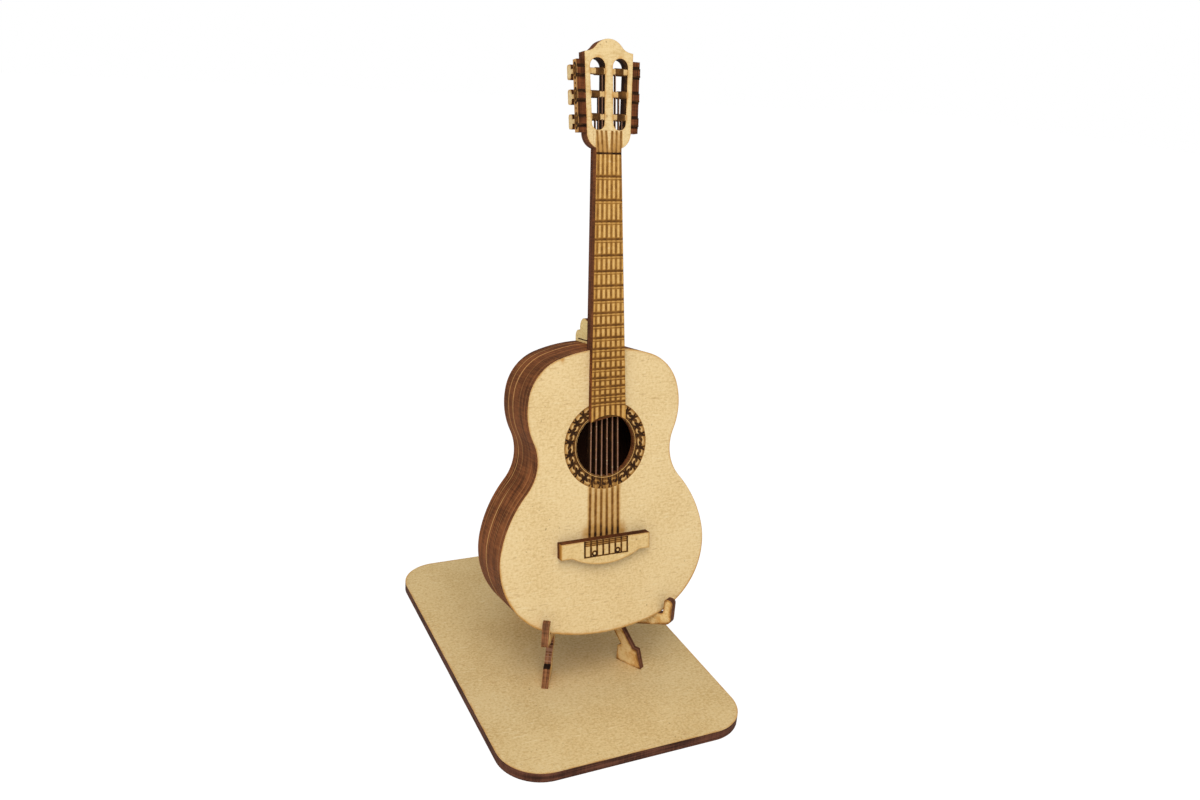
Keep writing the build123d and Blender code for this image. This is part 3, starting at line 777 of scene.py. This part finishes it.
def head_outline():
    """Right half of the head's outline, from the crest down: a round crest, a hollow flare, a short shoulder, a
    tapering side and an arc that is tangent to that side and ends on the neck."""
    crest = arc((0, head_top - crest_radius), crest_radius, 90, crest_end)
    out = np.radians(crest_end)
    hollow_centre = crest[-1] + hollow_radius * np.array((np.cos(out), np.sin(out)))
    hollow = arc(hollow_centre, hollow_radius, 180 + crest_end, hollow_end)
    shoulder, foot = np.array((shoulder_half, shoulder_place)), np.array((foot_half, head_low))
    end = np.array((neck_half(flare_place), flare_place))
    down = (foot - shoulder) / np.linalg.norm(foot - shoulder)
    inward = np.array((down[1], -down[0]))
    radius = np.sum((end - foot) ** 2) / (2 * inward @ (end - foot))
    centre = foot + radius * inward
    first, last = (np.degrees(np.arctan2(*(point - centre)[::-1])) for point in (foot, end))
    return np.concatenate([crest, hollow, [shoulder], arc(centre, radius, first, last)])


head_edge = head_outline()[::-1]
slot_share = np.linspace(0, 1, 81)
slot_middle = 4.2 + 0.25 * slot_share
slot_radius = slot_low_radius + (slot_high_radius - slot_low_radius) * slot_share
slot_height = (slot_low + slot_low_radius
               + slot_share * (slot_high - slot_high_radius - slot_low - slot_low_radius))


def plate_half(v):
    """Half-width of the neck and head plate: the neck's taper, then the head's outline."""
    return np.where(v < flare_place, neck_half(v), np.interp(v, head_edge[:, 1], head_edge[:, 0]))


def slot_edges(v):
    """Inner and outer edge of a slot: the hull of circles whose place and radius run evenly up the slot."""
    chord = np.sqrt(np.maximum(slot_radius**2 - (v[:, None] - slot_height) ** 2, 0))
    inside = np.abs(v[:, None] - slot_height) <= slot_radius + 1e-6
    inner = np.where(inside, slot_middle - chord, np.inf).min(1)
    outer = np.where(inside, slot_middle + chord, -np.inf).max(1)
    return inner, outer


def slot_gap(u, v):
    """Distance to the nearer slot: the least distance to its circles, less their radius."""
    far = np.hypot(np.abs(u)[..., None] - slot_middle, v[..., None] - slot_height) - slot_radius
    return np.maximum(far.min(-1), 0)


def plate_strip(v, left, right, rim=0.0):
    """Closed strip of the plate between a left and a right edge: columns up the left side, over the front, down the
    right side and back behind, with slightly rounded front edges. The rim is the share of the sound hole's hollow that
    shifts points down. Burn and halo darken the walls of the slots and the face beside every cut and roller."""
    step, share = np.array((0.03, 0.1, 0.25, 0.5, 0.9, 1.6)), np.array((0.06, 0.13, 0.2, 0.3, 0.4, 0.47))
    wide = (right - left)[:, None]
    inset = np.minimum(step, wide * share)
    none = np.zeros_like(wide)
    side = np.concatenate([none, none, none, inset], 1)
    inner_columns = np.linspace(0, 1, 16)[1:-1]
    middle = inner_columns * (wide - 2 * inset[:, -1:]) + inset[:, -1:]
    u = np.concatenate([left[:, None] + side, left[:, None] + middle,
                        right[:, None] - side[:, ::-1], left[:, None] + middle[:, ::-1]], 1)
    side_n = np.array((0.0, 1.2, sheet - round_off, sheet - half_round, *[sheet] * 5))
    n = np.concatenate([side_n, np.full_like(inner_columns, sheet), side_n[::-1], np.zeros_like(inner_columns)])
    n, v = np.broadcast_to(n, u.shape), np.broadcast_to(v[:, None], u.shape)
    slot = slot_gap(u, v)
    cut = np.minimum(slot, plate_half(v) - np.abs(u))
    beside = np.exp(-(((v[..., None] - roller_places) / 1.3) ** 2)).max(-1) * fade(slot, 0.7)
    face = n > sheet - 0.1
    halo = np.where(face, 0.75 * fade(cut, 0.35) + 0.25 * fade(cut, 1.2) + 0.6 * beside, 0)
    burn = np.where(face, 0.16 * beside, 0.88 * (slot < 0.02))
    return on_guitar(u, v + hole_rim(u) * np.reshape(rim, (-1, 1)), n), burn, np.minimum(halo, 1)


def roller(centre_u, centre_v, half_length, winding=False):
    """Bar across a slot, or the winding round it: a rounded box profile, sin and cos to the power of 0.4, along the
    bar. A winding is thicker, by a cosine ripple for each of its turns, and closes at its ends."""
    run = np.linspace(-1, 1, 45)
    grow = np.full_like(run, -0.1)
    if winding:
        grow = winding_rise + winding_ripple * np.cos(run * np.pi * winding_turns)
        grow[[0, -1]] = -0.15
    a = np.linspace(0, 2 * np.pi, 32, endpoint=False)
    box_v, box_n = (np.sign(f) * np.abs(f) ** 0.4 for f in (np.sin(a), np.cos(a)))
    return on_guitar(centre_u + half_length * run[:, None], centre_v + box_v * (roller_half + grow[:, None]),
                     sheet / 2 - 0.1 + box_n * (sheet / 2 + grow[:, None])), run[:, None]


neck_rows = np.concatenate([np.linspace(neck_start, rim_end, 14), np.linspace(19, flare_place, 40),
                            np.linspace(109.5, head_low, 18)[:-1], np.linspace(head_low, slot_low, 5)])
slot_rows = (slot_low + slot_high) / 2 - (slot_high - slot_low) / 2 * np.cos(np.linspace(0, np.pi, 150))
top_rows = np.concatenate([[slot_high], head_edge[head_edge[:, 1] > slot_high + 0.02][:, 1]])
neck_edge, slot_edge, top_edge = plate_half(neck_rows), plate_half(slot_rows), plate_half(top_rows)
inner, outer = slot_edges(slot_rows)
plate = Piece()
plate.add(head_board, *plate_strip(neck_rows, -neck_edge, neck_edge, 1 - ease(neck_rows, neck_start, rim_end)))
plate.add(head_board, *plate_strip(slot_rows, -slot_edge, -outer))
plate.add(head_board, *plate_strip(slot_rows, -inner, inner))
plate.add(head_board, *plate_strip(slot_rows, outer, slot_edge))
plate.add(head_board, *plate_strip(top_rows, -top_edge, top_edge))
for side, centres in ((-1, left_windings), (1, right_windings)):
    for place, centre in zip(roller_places, centres):
        (near_edge,), (far_edge,) = slot_edges(np.array((place,)))
        bar_half = (far_edge - near_edge) / 2 + roller_bite
        points, run = roller(side * (near_edge + far_edge) / 2, place, bar_half)
        plate.add(head_board, points, 0.1 + 0.14 * run**4, 0.6)
        points, run = roller(centre, place, winding_half, winding=True)
        plate.add(head_board, points, 0.82 - 0.14 * np.cos(run * np.pi * winding_turns))
for strip, place in zip(slot_strips, roller_places):
    for side in (-1, 1):
        run = np.array((slot_low - 0.3, place))
        points = on_guitar(side * strip + 0.55 * strip_u, run[:, None], 2.3 + 0.45 * strip_n)
        plate.add(string_board, points, strip_burn)
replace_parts(plate.make("fretboard_and_head_plate"), "fretboard")


# Tuner plates: dark gear ovals and dots on their outer faces, and dark bands of painted shadow beside their lugs;
# and a painted shadow line on the heel's foot
tuner_place, tuner_step, tuner_half = nut_place + 19.6, 8.5, 9.04
plate_taper, plate_sheet = 0.0307, 3.0
disc_n = 0.45
gear_wide, gear_high, dot_size = 1.52, 3.0, 0.4
lug_shadow_bands = ((1.0, 1.46, sheet + 0.02), (1.4, 2.2, sheet - 0.46))
lug_shadow_back = sheet - 1.2
heel_half, heel_front, heel_back = 1.3, -2.52, -22.3
heel_shadow_line = (body_top + 0.95, body_top + 1.4)


def disc(side, v, wide, high, dark):
    """Low dome on a tuner plate's outer face, and its burn: rings of an ellipse that rise to 0.12 mm, with a paler
    ring half way."""
    grow = np.array((1.0, 1.0, 0.9, 0.72, 0.6, 0.45, 0.3, 0.1))[:, None]
    rise = np.array((-0.05, 0.04, 0.1, 0.12, 0.07, 0.12, 0.12, 0.12))[:, None]
    burn = np.array((1, 1, 0.95, 0.9, 0.35, 0.9, 0.9, 0.6))[:, None]
    a = np.linspace(0, 2 * np.pi, 32, endpoint=False)
    place = v + high * grow * np.sin(a)
    outer = tuner_half + plate_taper * (place - tuner_place) + plate_sheet
    return on_guitar(side * (outer + rise), place, disc_n + wide * grow * np.cos(a)), burn * dark


def bar(u0, u1, v0, v1, n0, n1):
    """Small box as a grid: a square ring at each of two depths."""
    u, v = np.array((u0, u1, u1, u0)), np.array((v0, v0, v1, v1))
    return on_guitar(u, v, np.array((n0, n1))[:, None])


marks = Piece()
for side in (-1, 1):
    for step in (-tuner_step, 0.0, tuner_step):
        marks.add(engraved_board, *disc(side, tuner_place + step, gear_wide, gear_high, 0.95))
        inner = tuner_half + plate_taper * step
        for edge in (-1, 1):
            # Dark bars of painted shadow beside each lug, one proud of the front edge and one sunk into it
            for first, last, front in lug_shadow_bands:
                low, high = np.sort(tuner_place + step + edge * np.array((first, last)))
                points = bar(side * inner, side * (inner + plate_sheet + 0.03), low, high, lug_shadow_back, front)
                marks.add(engraved_board, points, 0.95)
    for step in (-tuner_step / 2, tuner_step / 2):
        marks.add(engraved_board, *disc(side, tuner_place + step, dot_size, dot_size, 0.9))
# Dark bar of painted shadow across the heel's foot
marks.add(engraved_board, bar(-heel_half, heel_half, *heel_shadow_line, heel_front, heel_back), 0.95)
marks.make("tuner_marks_and_painted_shadows")

# Floor: white paper that keeps the shadow, and glows white to the camera and in reflections
white = (1.0, 1.0, 1.0, 1.0)
floor_reach, floor_drop = 3.0, 0.0002
floor_corners = [(-floor_reach, -floor_reach, 0), (floor_reach, -floor_reach, 0),
                 (floor_reach, floor_reach, 0), (-floor_reach, floor_reach, 0)]
floor_mesh = bpy.data.meshes.new("floor")
floor_mesh.from_pydata(floor_corners, [], [(0, 1, 2, 3)])
floor = bpy.data.objects.new("floor", floor_mesh)
floor.location.z = -floor_drop
bpy.context.scene.collection.objects.link(floor)
paper_look = Look(bpy.data.materials.new("white_floor"))
paths = paper_look.node("ShaderNodeLightPath").outputs
seen = paper_look.math("MAXIMUM", paths["Is Camera Ray"], paths["Is Glossy Ray"])
seen = paper_look.math("MAXIMUM", seen, paths["Is Transmission Ray"])
paper = paper_look.node("ShaderNodeBsdfDiffuse", {"Color": (0.9, 0.9, 0.9, 1)}).outputs[0]
glow = paper_look.node("ShaderNodeEmission", {"Color": white, "Strength": 1.12}).outputs[0]
share = paper_look.math("MULTIPLY", seen, 0.86)
both = paper_look.node("ShaderNodeMixShader", {0: share, 1: paper, 2: glow}).outputs[0]
paper_look.node("ShaderNodeOutputMaterial", {"Surface": both})
floor_mesh.materials.append(paper_look.owner)

# World: soft light from all round, white to the camera
world = bpy.data.worlds.new("studio")
bpy.context.scene.world = world
sky = Look(world)
ambient = sky.node("ShaderNodeBackground", {"Color": white, "Strength": 0.42}).outputs[0]
backdrop = sky.node("ShaderNodeBackground", {"Color": white, "Strength": 1.0}).outputs[0]
to_camera = sky.node("ShaderNodeLightPath").outputs["Is Camera Ray"]
both = sky.node("ShaderNodeMixShader", {0: to_camera, 1: ambient, 2: backdrop}).outputs[0]
sky.node("ShaderNodeOutputWorld", {"Surface": both})


def soft_lamp(name, place, target, size, power):
    """Square area lamp at a place, turned to a target, both in metres."""
    data = bpy.data.lights.new(name, "AREA")
    data.energy, data.size = power, size
    lamp = bpy.data.objects.new(name, data)
    place, target = np.array(place), np.array(target)
    back = (place - target) / np.linalg.norm(place - target)
    side = np.cross((0, 0, 1), back)
    side /= np.linalg.norm(side)
    turn = np.stack([side, np.cross(back, side), back], 1)
    lamp.matrix_world = Matrix.Translation(place) @ Matrix(turn.tolist()).to_4x4()
    bpy.context.scene.collection.objects.link(lamp)


lamp_target = (0, 0, 0.1)
soft_lamp("key", (-0.24, -0.58, 0.88), lamp_target, 0.65, 6.3)
soft_lamp("fill", (-0.9, -0.35, 0.45), lamp_target, 0.8, 1.4)

# Camera, where the photo was taken from
camera_data = bpy.data.cameras.new("camera")
camera_data.lens, camera_data.sensor_width = 31.077, 36.0
camera_data.clip_start, camera_data.clip_end = 0.01, 20.0
camera = bpy.data.objects.new("camera", camera_data)
camera_place = (-0.16259, -0.34779, 0.25377)
camera_right = (0.90426, -0.42015, 0.07603)
camera_up = (0.07984, 0.34132, 0.93655)
camera_back = (-0.41945, -0.84082, 0.34219)
camera_turn = Matrix((camera_right, camera_up, camera_back)).transposed()
camera.matrix_world = Matrix.Translation(camera_place) @ camera_turn.to_4x4()
bpy.context.scene.collection.objects.link(camera)
bpy.context.scene.camera = camera
bpy.context.scene.view_settings.view_transform = "Standard"
